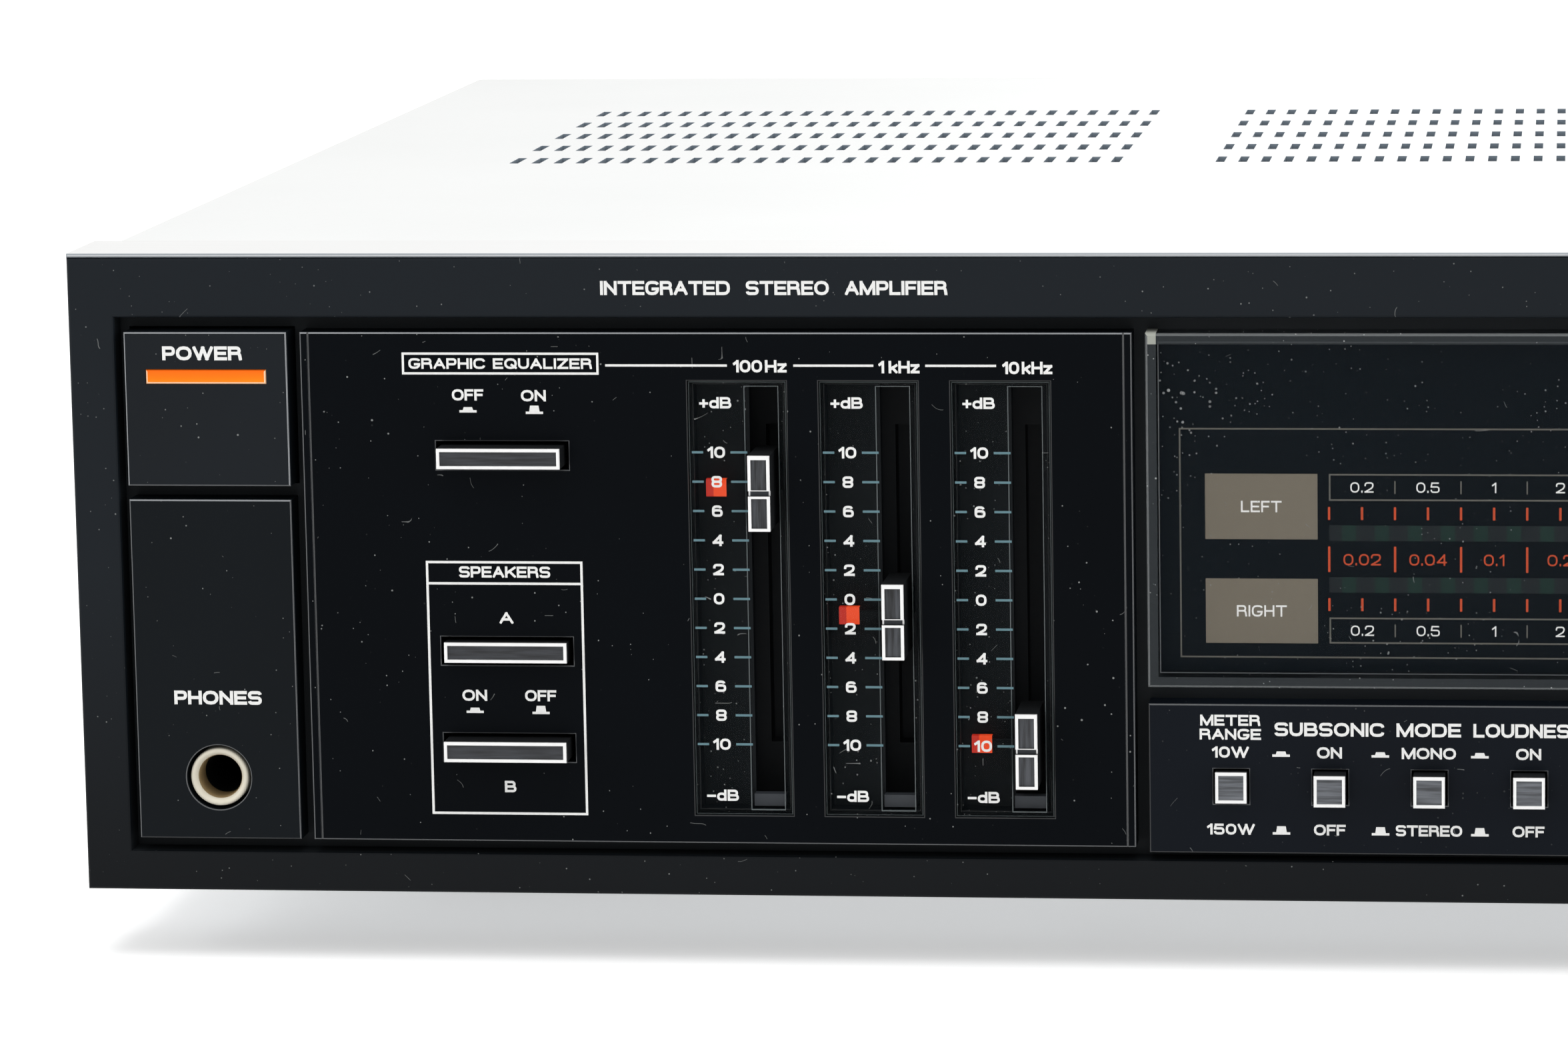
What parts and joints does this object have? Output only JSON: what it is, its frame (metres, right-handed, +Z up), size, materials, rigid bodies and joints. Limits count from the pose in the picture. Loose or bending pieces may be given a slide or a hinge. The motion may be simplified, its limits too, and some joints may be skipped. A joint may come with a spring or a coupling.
{
  "type": "stereo amplifier",
  "caption": "Slim hi-fi stereo amplifier with a black front, graphic equaliser sliders, bar meters, push switches, headphone jack and a slotted silver cover.",
  "frame": {"origin": "middle of the footprint at the bottom of the feet", "axes": "+X to the right seen from the front, +Y from the front to the back, +Z up"},
  "size_m": [0.44, 0.3404, 0.108],
  "materials": {
    "black_moulding": "fine moulded satin",
    "panel_black": "satin, printed legends",
    "trim_aluminium": "brushed, clear anodised",
    "cover_paint": "pale silver baked paint",
    "chassis_steel": "zinc plated sheet",
    "rear_paint": "matt black baked paint",
    "window_acrylic": "clear tinted acrylic",
    "scale_print": "printed scale plate",
    "smoked_acrylic": "smoked acrylic",
    "rubber": "moulded",
    "screw_steel": "black oxide",
    "stripe_orange": "moulded in colour",
    "silver_cap": "bright metallised caps",
    "slider_black": "metallised edges",
    "flag_red": "moulded in colour",
    "knob_aluminium": "turned and anodised",
    "shaft_steel": "turned",
    "lever_red": "moulded",
    "lever_black": "moulded",
    "core_iron": "varnished laminations",
    "coil_copper": "taped winding",
    "sink_black": "black anodised",
    "module_epoxy": "moulded epoxy",
    "circuit_board": "paper laminate",
    "can_blue": "shrink sleeve",
    "switch_nylon": "moulded",
    "jack_ivory": "moulded nylon",
    "phono_plate": "nickel plated",
    "terminal_black": "moulded"
  },
  "bodies": {
    "chassis": {"chassis_base": "chassis_steel", "rear_panel": "rear_paint", "front_subframe": "chassis_steel", "front_panel": "black_moulding", "front_trim": "trim_aluminium", "top_cover": "cover_paint", "eq_panel": "panel_black", "phones_panel": "panel_black", "button_strip": "panel_black", "volume_panel": "panel_black", "meter_window": "window_acrylic", "meter_scale": "scale_print", "scale_inserts": "smoked_acrylic", "feet": "rubber", "case_screws": "screw_steel", "transformer_core": "core_iron", "transformer_coil": "coil_copper", "heat_sink": "sink_black", "power_modules": "module_epoxy", "main_board": "circuit_board", "filter_capacitors": "can_blue", "control_board": "circuit_board", "slide_pots": "switch_nylon", "push_switches": "switch_nylon", "meter_board": "circuit_board", "rotary_pots": "shaft_steel", "phones_jack": "jack_ivory", "phono_sockets": "phono_plate", "terminal_block": "terminal_black", "terminal_cells": "terminal_black", "mains_gland": "terminal_black"},
    "power": {"power_button": "panel_black", "power_stripe": "stripe_orange"},
    "equaliser_switch": {"eq_button": "silver_cap"},
    "speaker_a": {"speaker_a_button": "silver_cap"},
    "speaker_b": {"speaker_b_button": "silver_cap"},
    "bass": {"bass_slider": "slider_black", "bass_flag": "flag_red"},
    "mid": {"mid_slider": "slider_black", "mid_flag": "flag_red"},
    "treble": {"treble_slider": "slider_black", "treble_flag": "flag_red"},
    "meter_range": {"meter_range_button": "silver_cap"},
    "subsonic": {"subsonic_button": "silver_cap"},
    "mode": {"mode_button": "silver_cap"},
    "loudness": {"loudness_button": "silver_cap"},
    "tape_1": {"tape_1_button": "silver_cap"},
    "tape_2": {"tape_2_button": "silver_cap"},
    "balance": {"balance_slider": "silver_cap"},
    "selector": {"selector_knob": "knob_aluminium"},
    "volume": {"volume_knob": "knob_aluminium", "volume_shaft": "shaft_steel"},
    "speaker_lever_1": {"speaker_lever_1": "lever_red"},
    "speaker_lever_2": {"speaker_lever_2": "lever_black"},
    "speaker_lever_3": {"speaker_lever_3": "lever_red"},
    "speaker_lever_4": {"speaker_lever_4": "lever_black"},
    "speaker_lever_5": {"speaker_lever_5": "lever_red"},
    "speaker_lever_6": {"speaker_lever_6": "lever_black"},
    "speaker_lever_7": {"speaker_lever_7": "lever_red"},
    "speaker_lever_8": {"speaker_lever_8": "lever_black"},
    "earth": {"earth_screw": "shaft_steel"}
  },
  "joints": [
    {"name": "power_press", "type": "slide", "parent": "chassis", "child": "power", "axis": [0, 1, 0], "range_m": [0, 0.003], "stiffness_N_per_m": 300},
    {"name": "equaliser_switch_press", "type": "slide", "parent": "chassis", "child": "equaliser_switch", "axis": [0, 1, 0], "range_m": [0, 0.0025], "stiffness_N_per_m": 300},
    {"name": "speaker_a_press", "type": "slide", "parent": "chassis", "child": "speaker_a", "axis": [0, 1, 0], "range_m": [-0.0021, 0.0004]},
    {"name": "speaker_b_press", "type": "slide", "parent": "chassis", "child": "speaker_b", "axis": [0, 1, 0], "range_m": [0, 0.0025], "stiffness_N_per_m": 300},
    {"name": "bass_slide", "type": "slide", "parent": "chassis", "child": "bass", "axis": [0, 0, 1], "range_m": [-0.03855, 0.00555]},
    {"name": "mid_slide", "type": "slide", "parent": "chassis", "child": "mid", "axis": [0, 0, 1], "range_m": [-0.01935, 0.02475]},
    {"name": "treble_slide", "type": "slide", "parent": "chassis", "child": "treble", "axis": [0, 0, 1], "range_m": [0, 0.0441]},
    {"name": "meter_range_press", "type": "slide", "parent": "chassis", "child": "meter_range", "axis": [0, 1, 0], "range_m": [-0.0021, 0.0004]},
    {"name": "subsonic_press", "type": "slide", "parent": "chassis", "child": "subsonic", "axis": [0, 1, 0], "range_m": [0, 0.0025], "stiffness_N_per_m": 300},
    {"name": "mode_press", "type": "slide", "parent": "chassis", "child": "mode", "axis": [0, 1, 0], "range_m": [0, 0.0025], "stiffness_N_per_m": 300},
    {"name": "loudness_press", "type": "slide", "parent": "chassis", "child": "loudness", "axis": [0, 1, 0], "range_m": [0, 0.0025], "stiffness_N_per_m": 300},
    {"name": "tape_1_press", "type": "slide", "parent": "chassis", "child": "tape_1", "axis": [0, 1, 0], "range_m": [0, 0.0025], "stiffness_N_per_m": 300},
    {"name": "tape_2_press", "type": "slide", "parent": "chassis", "child": "tape_2", "axis": [0, 1, 0], "range_m": [0, 0.0025], "stiffness_N_per_m": 300},
    {"name": "balance_slide", "type": "slide", "parent": "chassis", "child": "balance", "axis": [1, 0, 0], "range_m": [-0.009, 0.009]},
    {"name": "selector_turn", "type": "hinge", "parent": "chassis", "child": "selector", "pos_m": [0.10645, -0.148, 0.05775], "axis": [0, 1, 0], "range_deg": [-60, 60]},
    {"name": "volume_turn", "type": "hinge", "parent": "chassis", "child": "volume", "pos_m": [0.17464, -0.148, 0.05775], "axis": [0, 1, 0], "range_deg": [-150, 150]},
    {"name": "speaker_lever_1_tilt", "type": "hinge", "parent": "chassis", "child": "speaker_lever_1", "pos_m": [-0.046, 0.1672, 0.0388], "axis": [1, 0, 0], "range_deg": [0, 20], "stiffness_Nm_per_rad": 0.02},
    {"name": "speaker_lever_2_tilt", "type": "hinge", "parent": "chassis", "child": "speaker_lever_2", "pos_m": [-0.032, 0.1672, 0.0388], "axis": [1, 0, 0], "range_deg": [0, 20], "stiffness_Nm_per_rad": 0.02},
    {"name": "speaker_lever_3_tilt", "type": "hinge", "parent": "chassis", "child": "speaker_lever_3", "pos_m": [-0.018, 0.1672, 0.0388], "axis": [1, 0, 0], "range_deg": [0, 20], "stiffness_Nm_per_rad": 0.02},
    {"name": "speaker_lever_4_tilt", "type": "hinge", "parent": "chassis", "child": "speaker_lever_4", "pos_m": [-0.004, 0.1672, 0.0388], "axis": [1, 0, 0], "range_deg": [0, 20], "stiffness_Nm_per_rad": 0.02},
    {"name": "speaker_lever_5_tilt", "type": "hinge", "parent": "chassis", "child": "speaker_lever_5", "pos_m": [-0.046, 0.1672, 0.0588], "axis": [1, 0, 0], "range_deg": [0, 20], "stiffness_Nm_per_rad": 0.02},
    {"name": "speaker_lever_6_tilt", "type": "hinge", "parent": "chassis", "child": "speaker_lever_6", "pos_m": [-0.032, 0.1672, 0.0588], "axis": [1, 0, 0], "range_deg": [0, 20], "stiffness_Nm_per_rad": 0.02},
    {"name": "speaker_lever_7_tilt", "type": "hinge", "parent": "chassis", "child": "speaker_lever_7", "pos_m": [-0.018, 0.1672, 0.0588], "axis": [1, 0, 0], "range_deg": [0, 20], "stiffness_Nm_per_rad": 0.02},
    {"name": "speaker_lever_8_tilt", "type": "hinge", "parent": "chassis", "child": "speaker_lever_8", "pos_m": [-0.004, 0.1672, 0.0588], "axis": [1, 0, 0], "range_deg": [0, 20], "stiffness_Nm_per_rad": 0.02},
    {"name": "earth_turn", "type": "hinge", "parent": "chassis", "child": "earth", "pos_m": [0.193, 0.1582, 0.055], "axis": [0, 1, 0], "range_deg": [0, 720]}
  ]
}
